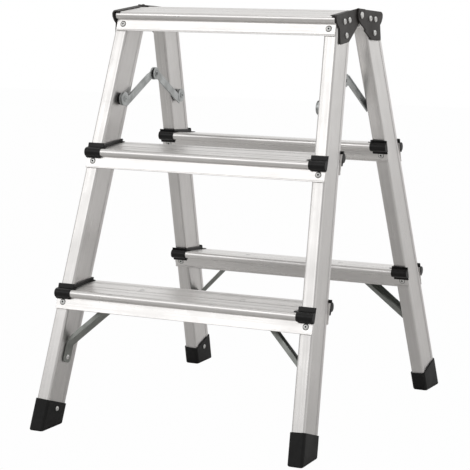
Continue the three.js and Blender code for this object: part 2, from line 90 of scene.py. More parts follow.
CORNERS = [(half, side) for half in HALVES for side in SIDES]
BODY_OF = {
    node: body for body, nodes in frame["record"]["behaviour"]["bodies"].items() for node in nodes
}

# How closely mesh points are told apart, and which edges are flat or sharp.
ON_PLANE = 0.001 * MM
SAME_POINT = 0.002 * MM
SLIVER = 0.02 * MM
FLAT = math.radians(0.6)
SHARP_ON_NODES = math.radians(50)
SHARP_ON_TURNED = math.radians(42)
PARALLEL = 0.99
NEARLY_PARALLEL = 0.9


# Places -----------------------------------------------------------------------------------------


def lean_point(half, x, across, along):
    """World place of a point given across a half's centre plane and along its stiles."""
    y = (across - STILE_OFFSET) * math.cos(LEAN) + along * math.sin(LEAN)
    z = -(across - STILE_OFFSET) * math.sin(LEAN) + along * math.cos(LEAN)
    return Vector((x, HALVES[half] * y, z))


def lean_direction(half, x, across, along):
    """World direction of a direction given in a half's leaning frame."""
    y = across * math.cos(LEAN) + along * math.sin(LEAN)
    z = -across * math.sin(LEAN) + along * math.cos(LEAN)
    return Vector((x, HALVES[half] * y, z)).normalized()


def stile_outward(half, side):
    """Direction that a stile's outer side faces."""
    return lean_direction(half, SIDES[side] * math.cos(SPLAY), 0, math.sin(SPLAY))


def tread_directions(half):
    """Directions across a half's treads and up from their tops."""
    tilt = LEAN + TREAD_TILT
    depth = lean_direction(half, 0, math.cos(tilt), math.sin(tilt))
    return depth, lean_direction(half, 0, -math.sin(tilt), math.cos(tilt))


def outer_side(along):
    """Distance from the centre plane to the stiles' outer sides."""
    return STILE_BASE_X + STILE_HALF_WIDTH / math.cos(SPLAY) - along * math.tan(SPLAY)


def inner_side(along):
    """Distance from the centre plane to the stiles' inner sides."""
    return outer_side(along) - 2 * STILE_HALF_WIDTH / math.cos(SPLAY)


# Meshes -----------------------------------------------------------------------------------------


def new_piece(name, bm, material, body, nodes=()):
    """Makes a bmesh an object that rides on a body and stands for the given nodes."""
    mesh = bpy.data.meshes.new(name)
    bm.to_mesh(mesh)
    bm.free()
    piece = bpy.data.objects.new(name, mesh)
    bpy.context.scene.collection.objects.link(piece)
    mesh.materials.append(material)
    weighted = piece.modifiers.new("Even normals", "WEIGHTED_NORMAL")
    weighted.keep_sharp = True
    weighted.mode = "FACE_AREA"
    if nodes:
        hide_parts(*nodes)
    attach(piece, body)


def shade(bm, sharp_angle):
    """Shades faces smooth, with edges steeper than the angle kept sharp."""
    for face in bm.faces:
        face.smooth = True
    for edge in bm.edges:
        edge.smooth = edge.calc_face_angle(math.pi) < sharp_angle


def merged_copy(node, tolerance=SAME_POINT):
    """A copy of a node's mesh with its doubled points merged."""
    bm = bmesh.new()
    bm.from_mesh(frame["nodes"][node].data)
    bmesh.ops.remove_doubles(bm, verts=bm.verts, dist=tolerance)
    return bm


def cleaned_copy(node):
    """A merged copy of a node's mesh with its flat faces joined."""
    bm = merged_copy(node, SLIVER)
    bmesh.ops.dissolve_degenerate(bm, edges=bm.edges, dist=SLIVER)
    bmesh.ops.dissolve_limit(bm, angle_limit=FLAT, verts=bm.verts, edges=bm.edges)
    return bm


def ease(bm, edges, width, segments=2):
    """Rounds the given edges and marks the new faces in the edge attribute."""
    layer = bm.loops.layers.float_color.get("edge") or bm.loops.layers.float_color.new("edge")
    made = bmesh.ops.bevel(
        bm,
        geom=list(edges),
        offset=width,
        offset_type="OFFSET",
        segments=segments,
        profile=0.5,
        affect="EDGES",
        clamp_overlap=False,
        material=-1,
    )
    for face in made["faces"]:
        for loop in face.loops:
            loop[layer] = (1, 1, 1, 1)


def cut(bm, place, direction):
    """Cuts a mesh's faces along a plane, and keeps both parts."""
    bmesh.ops.bisect_plane(
        bm,
        geom=bm.verts[:] + bm.edges[:] + bm.faces[:],
        dist=ON_PLANE,
        plane_co=place,
        plane_no=direction,
    )


def corners(bm, angle=math.radians(38), shortest=0.0):
    """Outward corners of a mesh: convex edges that turn by more than an angle."""
    return [
        edge
        for edge in bm.edges
        if edge.is_manifold
        and edge.is_convex
        and edge.calc_face_angle() > angle
        and edge.calc_length() > shortest
    ]


def direction_of(edge):
    """Direction that an edge runs in, either way round."""
    return (edge.verts[0].co - edge.verts[1].co).normalized()


def stand_in(node, bm, material):
    """Makes a mesh the piece that stands for a node, on the node's own body."""
    new_piece(node + "_finished", bm, material, BODY_OF[node], (node,))


def finish_node(node, bm, material):
    """Turns a reworked copy of a node into the piece that stands for it."""
    bmesh.ops.triangulate(bm, faces=[face for face in bm.faces if len(face.verts) > 4])
    shade(bm, SHARP_ON_NODES)
    stand_in(node, bm, material)


def spun(bm, profile, centre, direction, steps=32):
    """Turns a profile of (height, radius) stations about an axis and adds it to a bmesh."""
    direction = direction.normalized()
    turn = direction.to_track_quat("Z", "Y").to_matrix()
    verts = [
        bm.verts.new(centre + turn @ Vector((radius, 0, height))) for height, radius in profile
    ]
    edges = [bm.edges.new(pair) for pair in zip(verts, verts[1:])]
    bmesh.ops.spin(
        bm,
        geom=verts + edges,
        cent=centre,
        axis=direction,
        angle=math.tau,
        steps=steps,
        use_merge=True,
    )
    bmesh.ops.remove_doubles(bm, verts=bm.verts, dist=2 * SAME_POINT)


def closed(bm):
    """Turns faces outwards and shades them smooth except at steep edges."""
    bmesh.ops.recalc_face_normals(bm, faces=bm.faces)
    shade(bm, SHARP_ON_TURNED)
    return bm


def axis_span(node, direction):
    """A turned node's axis point and its reach along a direction."""
    direction = direction.normalized()
    bm = merged_copy(node)
    points = [vert.co.copy() for vert in bm.verts]
    bm.free()
    middle = sum(points, Vector()) / len(points)
    reach = [(point - middle).dot(direction) for point in points]
    return middle, min(reach), max(reach)


# Shader groups ----------------------------------------------------------------------------------


def new_group(name, inputs, outputs):
    """An empty shader node group with named sockets."""
    group = bpy.data.node_groups.new(name, "ShaderNodeTree")
    for socket, kind, value in inputs:
        made = group.interface.new_socket(socket, in_out="INPUT", socket_type=kind)
        if value is not None:
            made.default_value = value
    for socket, kind in outputs:
        group.interface.new_socket(socket, in_out="OUTPUT", socket_type=kind)
    return group, group.nodes.new("NodeGroupInput"), group.nodes.new("NodeGroupOutput")


def feed(tree, socket, value):
    """Links a socket to another one, or sets it to a constant."""
    if isinstance(value, bpy.types.NodeSocket):
        tree.links.new(value, socket)
    else:
        socket.default_value = value


def add(tree, kind, properties=None, **inputs):
    """Adds a node, sets its properties, and feeds its inputs by name or by number (i0, i1)."""
    made = tree.nodes.new(kind)
    for key, value in (properties or {}).items():
        setattr(made, key, value)
    for key, value in inputs.items():
        key = int(key[1:]) if key[0] == "i" and key[1:].isdigit() else key.replace("_", " ")
        feed(tree, made.inputs[key], value)
    return made


def math_node(tree, operation, first, second):
    """The result of a sum or a product."""
    return add(tree, "ShaderNodeMath", {"operation": operation}, i0=first, i1=second).outputs[0]


def scaled(tree, value, share):
    """A value times a share."""
    return math_node(tree, "MULTIPLY", value, share)


def noise(tree, vector, scale, detail=2.0, roughness=0.5):
    """The value of a noise texture."""
    return add(
        tree, "ShaderNodeTexNoise", Vector=vector, Scale=scale, Detail=detail, Roughness=roughness
    ).outputs["Fac"]


def spread(tree, value, low, high, to_low=0.0, to_high=1.0):
    """A value mapped from one range to another."""
    made = add(
        tree,
        "ShaderNodeMapRange",
        Value=value,
        From_Min=low,
        From_Max=high,
        To_Min=to_low,
        To_Max=to_high,
    )
    return made.outputs["Result"]


def blend_colour(tree, factor, first, second):
    """Two colours mixed by a factor."""
    made = add(tree, "ShaderNodeMix", {"data_type": "RGBA"}, i0=factor, i6=first, i7=second)
    return made.outputs[2]


def hide_from_camera(tree, lit, seen, surface):
    """Mixes two shaders: the second is what the camera sees, the first is for all other rays."""
    path = tree.nodes.new("ShaderNodeLightPath").outputs["Is Camera Ray"]
    mixed = add(tree, "ShaderNodeMixShader", i0=path, i1=lit, i2=seen)
    tree.links.new(mixed.outputs[0], surface)


def drawn_grain_group():
    """Lines left along a length of extruded or rolled metal. Its Vector runs along Z."""
    group, inp, out = new_group(
        "Drawn grain",
        [
            ("Vector", "NodeSocketVector", None),
            ("Fine", "NodeSocketFloat", 1400.0),
            ("Coarse", "NodeSocketFloat", 240.0),
            ("Run", "NodeSocketFloat", 3.0),
        ],
        [("Shade", "NodeSocketFloat"), ("Height", "NodeSocketFloat")],
    )
    levels = []
    for name in ("Fine", "Coarse"):
        across = inp.outputs[name]
        scale = add(group, "ShaderNodeCombineXYZ", X=across, Y=across, Z=inp.outputs["Run"])
        stretched = add(
            group,
            "ShaderNodeVectorMath",
            {"operation": "MULTIPLY"},
            i0=inp.outputs["Vector"],
            i1=scale.outputs[0],
        )
        levels.append(noise(group, stretched.outputs[0], 1.0, 3.0, 0.6))
    fine, coarse = levels
    mixed = math_node(group, "ADD", scaled(group, fine, 0.45), scaled(group, coarse, 0.55))
    group.links.new(spread(group, mixed, 0.34, 0.66), out.inputs["Shade"])
    group.links.new(fine, out.inputs["Height"])


def handling_group():
    """Smudges and short scuffs from handling."""
    group, inp, out = new_group(
        "Handling marks",
        [
            ("Vector", "NodeSocketVector", None),
            ("Smudge Scale", "NodeSocketFloat", 14.0),
            ("Scuff Scale", "NodeSocketFloat", 90.0),
        ],
        [("Smudges", "NodeSocketFloat"), ("Scuffs", "NodeSocketFloat")],
    )
    smudges = noise(group, inp.outputs["Vector"], inp.outputs["Smudge Scale"], 5.0, 0.6)
    group.links.new(spread(group, smudges, 0.38, 0.68), out.inputs["Smudges"])
    slanted = add(
        group,
        "ShaderNodeMapping",
        Vector=inp.outputs["Vector"],
        Rotation=(0.6, 0.35, 0.5),
        Scale=(1.0, 9.0, 3.0),
    )
    scuffs = noise(group, slanted.outputs[0], inp.outputs["Scuff Scale"], 2.0, 0.5)
    group.links.new(spread(group, scuffs, 0.66, 0.78), out.inputs["Scuffs"])


def stipple_group():
    """Fine even grain of moulded plastic, rubber or powder coat."""
    group, inp, out = new_group(
        "Stipple",
        [("Vector", "NodeSocketVector", None), ("Scale", "NodeSocketFloat", 1500.0)],
        [("Shade", "NodeSocketFloat"), ("Height", "NodeSocketFloat")],
    )
    vector, scale = inp.outputs["Vector"], inp.outputs["Scale"]
    fine = noise(group, vector, scale, 2.0, 0.5)
    coarse = noise(group, vector, scaled(group, scale, 0.13), 3.0, 0.55)
    group.links.new(spread(group, coarse, 0.35, 0.65), out.inputs["Shade"])
    group.links.new(fine, out.inputs["Height"])


def use_group(tree, name, **inputs):
    """The outputs of a shared group in a material's tree."""
    group = bpy.data.node_groups[name]
    return add(tree, "ShaderNodeGroup", {"node_tree": group}, **inputs).outputs


def new_material(name, metallic, specular=0.5):
    """A material with its Principled shader, its tree and its object coordinates."""
    material = bpy.data.materials.new(name)
    material.use_nodes = True
    tree = material.node_tree
    shader = tree.nodes["Principled BSDF"]
    shader.inputs["Metallic"].default_value = metallic
    shader.inputs["Specular IOR Level"].default_value = specular
    coordinates = tree.nodes.new("ShaderNodeTexCoord").outputs["Object"]
    return material, tree, shader, coordinates


def raise_surface(tree, shader, height, strength, distance):
    """Gives a shader the relief of a height."""
    bump = add(tree, "ShaderNodeBump", Height=height, Strength=strength, Distance=distance)
    tree.links.new(bump.outputs[0], shader.inputs["Normal"])


def edge_mask(tree):
    """One on the eased edges, nought elsewhere."""
    return add(tree, "ShaderNodeAttribute", {"attribute_name": "edge"}).outputs["Fac"]


def brighter(colour, gain):
    """A colour made brighter, but never more than white."""
    return tuple(min(1.0, gain * value) for value in colour[:3]) + (1,)


def drawn_metal(name, colour, dark, rotation, roughness):
    """Drawn or rolled metal with its lines along the turned Z axis."""
    material, tree, shader, coordinates = new_material(name, 0.9)
    turned = add(tree, "ShaderNodeMapping", Vector=coordinates, Rotation=rotation).outputs[0]
    grain = use_group(tree, "Drawn grain", Vector=turned)
    marks = use_group(tree, "Handling marks", Vector=turned)
    toned = blend_colour(tree, scaled(tree, grain["Shade"], 0.3), colour, dark)
    smudged = blend_colour(tree, scaled(tree, marks["Smudges"], 0.22), toned, dark)
    bright = brighter(colour, 1.12)
    worn = blend_colour(tree, scaled(tree, edge_mask(tree), 0.5), smudged, bright)
    tree.links.new(worn, shader.inputs["Base Color"])
    rough = spread(tree, grain["Shade"], 0.0, 1.0, *roughness)
    rough = math_node(tree, "ADD", rough, scaled(tree, marks["Smudges"], 0.06))
    rough = math_node(tree, "ADD", rough, scaled(tree, marks["Scuffs"], 0.08))
    tree.links.new(rough, shader.inputs["Roughness"])
    raise_surface(tree, shader, grain["Height"], 0.12, 0.05 * MM)
    return material


def stippled(name, colour, dusty, roughness, scale, relief, specular):
    """Moulded plastic, rubber or powder coat: a little dusty, paler along worn edges."""
    material, tree, shader, coordinates = new_material(name, 0.0, specular)
    grain = use_group(tree, "Stipple", Vector=coordinates, Scale=scale)
    marks = use_group(tree, "Handling marks", Vector=coordinates)
    toned = blend_colour(tree, scaled(tree, grain["Shade"], 0.5), colour, dusty)
    smudged = blend_colour(tree, scaled(tree, marks["Scuffs"], 0.3), toned, dusty)
    worn = blend_colour(tree, scaled(tree, edge_mask(tree), 0.35), smudged, dusty)
    tree.links.new(worn, shader.inputs["Base Color"])
    rough = spread(tree, marks["Smudges"], 0.0, 1.0, roughness - 0.06, roughness + 0.08)
    tree.links.new(rough, shader.inputs["Roughness"])
    raise_surface(tree, shader, grain["Height"], relief, 0.1 * MM)
    return material


def plated(name, colour, dark, roughness):
    """Zinc-plated steel: soft cloudy spangle."""
    material, tree, shader, coordinates = new_material(name, 0.85)
    grain = use_group(tree, "Stipple", Vector=coordinates, Scale=900.0)
    marks = use_group(tree, "Handling marks", Vector=coordinates, Smudge_Scale=45.0)
    toned = blend_colour(tree, scaled(tree, marks["Smudges"], 0.6), colour, dark)
    spangled = blend_colour(tree, scaled(tree, grain["Shade"], 0.25), toned, dark)
    bright = brighter(colour, 1.25)
    worn = blend_colour(tree, scaled(tree, edge_mask(tree), 0.4), spangled, bright)
    tree.links.new(worn, shader.inputs["Base Color"])
    rough = spread(tree, marks["Smudges"], 0.0, 1.0, roughness, roughness + 0.16)
    tree.links.new(rough, shader.inputs["Roughness"])
    raise_surface(tree, shader, grain["Height"], 0.1, 0.05 * MM)
    return material


_made_materials = {}


def material_for(name, maker, **looks):
    """The material of a name, made the first time that it is asked for."""
    if name not in _made_materials:
        _made_materials[name] = maker(name, **looks)
    return _made_materials[name]


# Settings ---------------------------------------------------------------------------------------


def colour_setting(name, description, default):
    """A colour that the panel offers."""
    return bpy.props.FloatVectorProperty(
        name=name,
        description=description,
        default=default,
        size=4,
        min=0,
        max=1,
        subtype="COLOR",
    )


def length_setting(name, description, default):
    """A length that the panel offers."""
    return bpy.props.FloatProperty(
        name=name,
        description=description,
        default=default,
        min=0,
        unit="LENGTH",
        subtype="DISTANCE",
    )


class LADDER_PG_sizes(bpy.types.PropertyGroup):
    """Sizes of the finishing details."""

    groove_width: length_setting("Groove width", "Width of the treads' pressed lines", 2.0 * MM)
    groove_depth: length_setting("Groove depth", "Depth of the treads' pressed lines", 0.8 * MM)
    panel_margin: length_setting("Stile land", "Width of the stiles' raised lands", 9.5 * MM)
    panel_depth: length_setting("Stile panel", "Depth of the stiles' sunk panels", 0.8 * MM)
    plate_corner: length_setting("Plate corner", "Rounding of the hinge plates' outline", 4.5 * MM)
    tread_ease: length_setting("Tread edge", "Rounding of the treads' cut edges", 0.35 * MM)
    cap_ease: length_setting("Cap edge", "Rounding of the end caps' moulded edges", 0.45 * MM)
    boot_ease: length_setting("Boot edge", "Rounding of the boots' upper edges", 0.5 * MM)
    sole_ease: length_setting("Sole edge", "Rounding around the boots' soles", 3.0 * MM)
    plate_ease: length_setting("Plate edge", "Rounding of the hinge plates' edges", 0.4 * MM)
    brace_foot: length_setting("Brace foot", "Rounding of the braces' lower ends", 7.5 * MM)
    brace_ease: length_setting("Brace edge", "Rounding of the braces' edges", 0.25 * MM)
    apron_rivet: length_setting("Apron rivet", "Head radius of the rivets in the aprons", 4.4 * MM)
    brace_rivet: length_setting("Brace rivet", "Head radius of the rivets in the braces", 4.0 * MM)


class LADDER_PG_colours(bpy.types.PropertyGroup):
    """Base colours of the finishes."""

    aluminium: colour_setting("Aluminium", "Treads and stiles", (0.76, 0.745, 0.735, 1))
    aluminium_dark: colour_setting(
        "Aluminium lines", "Drawn lines and smudges in the aluminium", (0.52, 0.51, 0.50, 1)
    )
    plastic: colour_setting("End caps", "Black moulded plastic", (0.004, 0.004, 0.0045, 1))
    rubber: colour_setting("Boots", "Black rubber", (0.004, 0.004, 0.004, 1))
    coat: colour_setting("Hinge plates", "Charcoal powder coat", (0.030, 0.026, 0.025, 1))
    zinc: colour_setting("Stays", "Zinc plate of the stays and washers", (0.56, 0.58, 0.58, 1))
    brace: colour_setting("Braces", "Dull plate of the corner braces", (0.27, 0.28, 0.265, 1))
    floor: colour_setting("Floor", "Pale studio floor", (0.9, 0.9, 0.9, 1))


class LADDER_PG_settings(bpy.types.PropertyGroup):
    """Everything the ladder's operators read."""

    sizes: bpy.props.PointerProperty(
        name="Sizes", description="Sizes of details", type=LADDER_PG_sizes
    )
    colours: bpy.props.PointerProperty(
        name="Colours", description="Base colours", type=LADDER_PG_colours
    )


def settings(context):
    """The sizes and colours that the operators work with."""
    return context.scene.step_ladder.sizes, context.scene.step_ladder.colours


# Finishes ---------------------------------------------------------------------------------------


def tread_metal(colours):
    return material_for(
        "Tread aluminium",
        drawn_metal,
        colour=tuple(colours.aluminium),
        dark=tuple(colours.aluminium_dark),
        rotation=(0, math.radians(90), 0),
        roughness=(0.22, 0.34),
    )


def stile_metal(colours, half, side):
    return material_for(
        f"Stile aluminium {half} {side}",
        drawn_metal,
        colour=tuple(colours.aluminium),
        dark=tuple(colours.aluminium_dark),
        rotation=(HALVES[half] * LEAN, SIDES[side] * SPLAY, 0),
        roughness=(0.24, 0.36),
    )


def cap_plastic(colours):
    return material_for(
        "Cap plastic",
        stippled,
        colour=tuple(colours.plastic),
        dusty=(0.016, 0.015, 0.015, 1),
        roughness=0.34,
        scale=1600.0,
        relief=0.22,
        specular=0.22,
    )


def boot_rubber(colours):
    return material_for(
        "Boot rubber",
        stippled,
        colour=tuple(colours.rubber),
        dusty=(0.014, 0.014, 0.014, 1),
        roughness=0.5,
        scale=1300.0,
        relief=0.35,
        specular=0.2,
    )


def plate_coat(colours):
    return material_for(
        "Charcoal coat",
        stippled,
        colour=tuple(colours.coat),
        dusty=(0.052, 0.048, 0.046, 1),
        roughness=0.46,
        scale=1100.0,
        relief=0.45,
        specular=0.2,
    )


def stay_plate(colours):
    return material_for(
        "Zinc plate",
        plated,
        colour=tuple(colours.zinc),
        dark=(0.3, 0.31, 0.31, 1),
        roughness=0.34,
    )


def brace_plate(colours):
    return material_for(
        "Brace plate",
        plated,
        colour=tuple(colours.brace),
        dark=(0.17, 0.18, 0.17, 1),
        roughness=0.4,
    )


def rivet_metal():
    return material_for(
        "Rivet metal",
        plated,
        colour=(0.78, 0.78, 0.77, 1),
        dark=(0.55, 0.55, 0.54, 1),
        roughness=0.26,
    )


# Near-black painted shadow for the blind rivets: the dark rings under their flanges and the stubs
# in their bores stand in for the shade that falls there.
def painted_shade_black():
    return material_for(
        "Rivet bore",
        stippled,
        colour=(0.012, 0.012, 0.012, 1),
        dusty=(0.03, 0.03, 0.03, 1),
        roughness=0.7,
        scale=1500.0,
        relief=0.2,
        specular=0.4,
    )


# Turned profiles: stations of (height, radius) --------------------------------------------------


def dome_profile(low, seat, high, shank, head):
    """Stations of a clenched tubular rivet: a rounded rim about a sunk middle."""
    rise = high - seat
    return [
        (low, 0.0),
        (low, shank),
        (seat, shank),
        (seat, 0.96 * head),
        (seat + 0.15 * rise, head),
        (seat + 0.45 * rise, 0.97 * head),
        (seat + 0.8 * rise, 0.84 * head),
        (high, 0.64 * head),
        (high, 0.5 * head),
        (seat + 0.7 * rise, 0.36 * head),
        (seat + 0.1 * rise, 0.3 * head),
        (seat + 0.05 * rise, 0.0),
    ]


def blind_profile(radius, bore):
    """Stations of a blind rivet's flange and open mandrel bore, seated at 0."""
    return [
        (-0.2 * MM, 0.0),
        (-0.2 * MM, 0.9 * radius),
        (0.0, radius),
        (0.35 * MM, radius),
        (0.95 * MM, 0.86 * radius),
        (1.3 * MM, 0.62 * radius),
        (1.35 * MM, bore + 0.35 * MM),
        (1.2 * MM, bore),
        (0.2 * MM, bore),
        (0.1 * MM, 0.8 * bore),
        (0.1 * MM, 0.0),
    ]


def flush_profile(size=1.0):
    """Stations of a flush rivet: a shallow dished head in a narrow ring."""
    stations = (
        (-0.3, 0.0),
        (-0.3, 4.9),
        (0.12, 4.8),
        (0.5, 4.3),
        (0.5, 3.9),
        (0.05, 3.3),
        (0.02, 0.0),
    )
    return [(height * MM * size, radius * MM * size) for height, radius in stations]


# Painted shadow around a blind rivet: a dark ring under its flange, and the stub of the mandrel in
# its bore, painted black as the bore's shade.
RIVET_SHADOW_RING = [(-0.1 * MM, 0.0), (-0.1 * MM, 5.2 * MM), (0.06 * MM, 5.1 * MM), (0.06 * MM, 0.0)]
BORE_STUB = [
    (0.0, 0.0),
    (0.0, 1.55 * MM),
    (0.5 * MM, 1.55 * MM),
    (0.7 * MM, 1.0 * MM),
    (0.7 * MM, 0.0),
]


def hinge_pin_profile(low, high):
    """Stations of a hinge pin between its upset tail and its dished head."""
    return [
        (low, 0.0),
        (low, 3.8 * MM),
        (low + 0.4 * MM, 4.6 * MM),
        (low + 1.5 * MM, 4.9 * MM),
        (low + 2.0 * MM, 4.6 * MM),
        (low + 2.0 * MM, 3.0 * MM),
        (high - 2.3 * MM, 3.0 * MM),
        (high - 2.3 * MM, 5.5 * MM),
        (high - 1.2 * MM, 5.4 * MM),
        (high - 0.5 * MM, 4.6 * MM),
        (high - 0.15 * MM, 3.2 * MM),
        (high, 1.6 * MM),
        (high - 0.2 * MM, 1.2 * MM),
        (high - 0.3 * MM, 0.0),
    ]


def washer_profile(low, back, front):
    """Stations of a stay's pivot: a collar behind the link, a washer and a tubular head."""
    return [
        (low, 0.0),
        (low, STAY_SHANK),
        (back - 2.9 * MM, STAY_SHANK),
        (back - 2.9 * MM, 10.6 * MM),
        (back - 0.2 * MM, 10.9 * MM),
        (back - 0.2 * MM, STAY_SHANK),
        (front, STAY_SHANK),
        (front, 10.8 * MM),
        (front + 0.2 * MM, 11.2 * MM),
        (front + 0.5 * MM, 11.2 * MM),
        (front + 0.7 * MM, 10.8 * MM),
        (front + 0.7 * MM, 5.6 * MM),
        (front + 0.4 * MM, 5.4 * MM),
        (front + 0.4 * MM, 4.8 * MM),
        (front + 1.3 * MM, 4.5 * MM),
        (front + 1.6 * MM, 3.6 * MM),
        (front + 1.6 * MM, 2.6 * MM),
        (front + 0.4 * MM, 2.0 * MM),
        (front + 0.4 * MM, 0.0),
    ]


def centre_profile(low, top):
    """Stations of the rivet that joins two stays: a washer under a tubular head."""
    return [
        (low, 0.0),
        (low, 2.7 * MM),
        (top - 1.6 * MM, 2.7 * MM),
        (top - 1.6 * MM, 9.7 * MM),
        (top - 1.2 * MM, 10.2 * MM),
        (top - 0.5 * MM, 10.0 * MM),
        (top - 0.3 * MM, 9.4 * MM),
        (top - 0.3 * MM, 5.6 * MM),
        (top - 0.9 * MM, 5.3 * MM),
        (top - 0.9 * MM, 4.7 * MM),
        (top + 0.2 * MM, 4.5 * MM),
        (top + 0.4 * MM, 3.6 * MM),
        (top + 0.4 * MM, 2.6 * MM),
        (top - 1.2 * MM, 2.2 * MM),
        (top - 1.2 * MM, 0.0),
    ]


def ring_profile(low, high, bore, low_radius, high_radius):
    """Stations of a ring about an open bore."""
    return [(low, bore), (low, low_radius), (high, high_radius), (high, bore), (low, bore)]


# Operators --------------------------------------------------------------------------------------


class LADDER_OT_treads(bpy.types.Operator):
    """Finish the treads in drawn aluminium"""

    bl_idname = "step_ladder.treads"
    bl_label = "Treads"

    def execute(self, context):
        sizes, colours = settings(context)
        for half in HALVES:
            depth, up = tread_directions(half)
            for level, station in TREAD_STATIONS.items():
                node = f"{half}_{level}_tread"
                bm = cleaned_copy(node)
                origin = lean_point(half, 0, 0, station)
                for place in TREAD_GROOVES:
                    self.groove(bm, origin + depth * place, depth, up, sizes)
                ends = [
                    edge
                    for edge in corners(bm, shortest=1 * MM)
                    if abs(edge.verts[0].co.x - edge.verts[1].co.x) < 0.2 * MM
                ]
                ease(bm, ends, sizes.tread_ease, segments=1)
                finish_node(node, bm, tread_metal(colours))
        return {"FINISHED"}

    def groove(self, bm, place, depth, up, sizes):
        """Presses a shallow line along the tread's top."""
        width = sizes.groove_width
        for share in GROOVE_CUTS:
            cut(bm, place + depth * share * width, depth)
        floor = [
            vert
            for vert in bm.verts
            if abs((vert.co - place).dot(depth)) < GROOVE_FLOOR * width
            and abs((vert.co - place).dot(up)) < 0.05 * MM
        ]
        bmesh.ops.translate(bm, verts=floor, vec=-up * sizes.groove_depth)


class LADDER_OT_stiles(bpy.types.Operator):
    """Finish the four stiles in drawn aluminium"""

    bl_idname = "step_ladder.stiles"
    bl_label = "Stiles"

    def execute(self, context):
        sizes, colours = settings(context)
        for half, side in CORNERS:
            node = f"{half}_{side}_stile"
            bm = cleaned_copy(node)
            self.panels(bm, half, side, sizes)
            finish_node(node, bm, stile_metal(colours, half, side))
        return {"FINISHED"}

    def panels(self, bm, half, side, sizes):
        """Sinks a shallow panel between the raised lands of a stile's two broad sides."""
        across = lean_direction(half, 0, 1, 0)
        outward = stile_outward(half, side)
        base = lean_point(half, SIDES[side] * STILE_BASE_X, 0, 0)
        reach = STILE_HALF_DEPTH - sizes.panel_margin
        for hand in (-1, 1):
            for place in (reach, reach - PANEL_SLOPE):
                cut(bm, base + across * hand * place, across)
        for hand in (-1, 1):
            sunk = [
                vert
                for vert in bm.verts
                if abs((vert.co - base).dot(across)) < reach - 0.3 * PANEL_SLOPE
                and (vert.co - base).dot(outward) * hand > STILE_HALF_WIDTH - 0.15 * MM
            ]
            bmesh.ops.translate(bm, verts=sunk, vec=-outward * hand * sizes.panel_depth)


class LADDER_OT_boots(bpy.types.Operator):
    """Mould the foot boots, rounded around their soles"""

    bl_idname = "step_ladder.boots"
    bl_label = "Foot Boots"

    def execute(self, context):
        sizes, colours = settings(context)
        for half, side in CORNERS:
            node = f"{half}_{side}_foot"
            bm = cleaned_copy(node)
            sole = [
                edge
                for edge in corners(bm, angle=math.radians(30))
                if all(vert.co.z < SOLE_EDGE for vert in edge.verts)
            ]
            rim = [
                edge for edge in corners(bm) if all(vert.co.z > BOOT_RIM for vert in edge.verts)
            ]
            ease(bm, rim, sizes.boot_ease)
            ease(bm, [edge for edge in sole if edge.is_valid], sizes.sole_ease, segments=4)
            finish_node(node, bm, boot_rubber(colours))
        return {"FINISHED"}


class LADDER_OT_end_caps(bpy.types.Operator):
    """Mould the end caps of the middle and bottom treads"""

    bl_idname = "step_ladder.end_caps"
    bl_label = "End Caps"

    def execute(self, context):
        sizes, colours = settings(context)
        for half, side in CORNERS:
            for level in ("middle", "bottom"):
                node = f"{half}_{side}_{level}_end_cap"
                bm = cleaned_copy(node)
                ease(bm, corners(bm, shortest=1.3 * MM), sizes.cap_ease)
                finish_node(node, bm, cap_plastic(colours))
        return {"FINISHED"}


class LADDER_OT_hinges(bpy.types.Operator):
    """Coat the hinge plates and turn the hinge pins"""

    bl_idname = "step_ladder.hinges"
    bl_label = "Hinges"

    def execute(self, context):
        sizes, colours = settings(context)
        for side, hand in SIDES.items():
            for half in HALVES:
                self.plate(f"{half}_{side}_hinge_plate", stile_outward(half, side), sizes, colours)
            node = f"{side}_hinge_pin"
            outward = Vector((hand, 0, 0))
            middle, low, high = axis_span(node, outward)
            bm = bmesh.new()
            spun(bm, hinge_pin_profile(low, high), middle, outward)
            stand_in(node, closed(bm), rivet_metal())
        return {"FINISHED"}

    def plate(self, node, outward, sizes, colours):
        """Rounds a plate's outer corners and eases its edges."""
        bm = cleaned_copy(node)
        outline = [
            edge
            for edge in corners(bm, angle=math.radians(48))
            if abs(direction_of(edge).dot(outward)) > PARALLEL
            and 2.2 * MM < edge.calc_length() < 3 * MM
            and abs(edge.verts[0].co.y) > PLATE_CORNER_REACH
        ]
        ease(bm, outline, sizes.plate_corner, segments=4)
        ease(bm, corners(bm, shortest=1.3 * MM), sizes.plate_ease)
        finish_node(node, bm, plate_coat(colours))


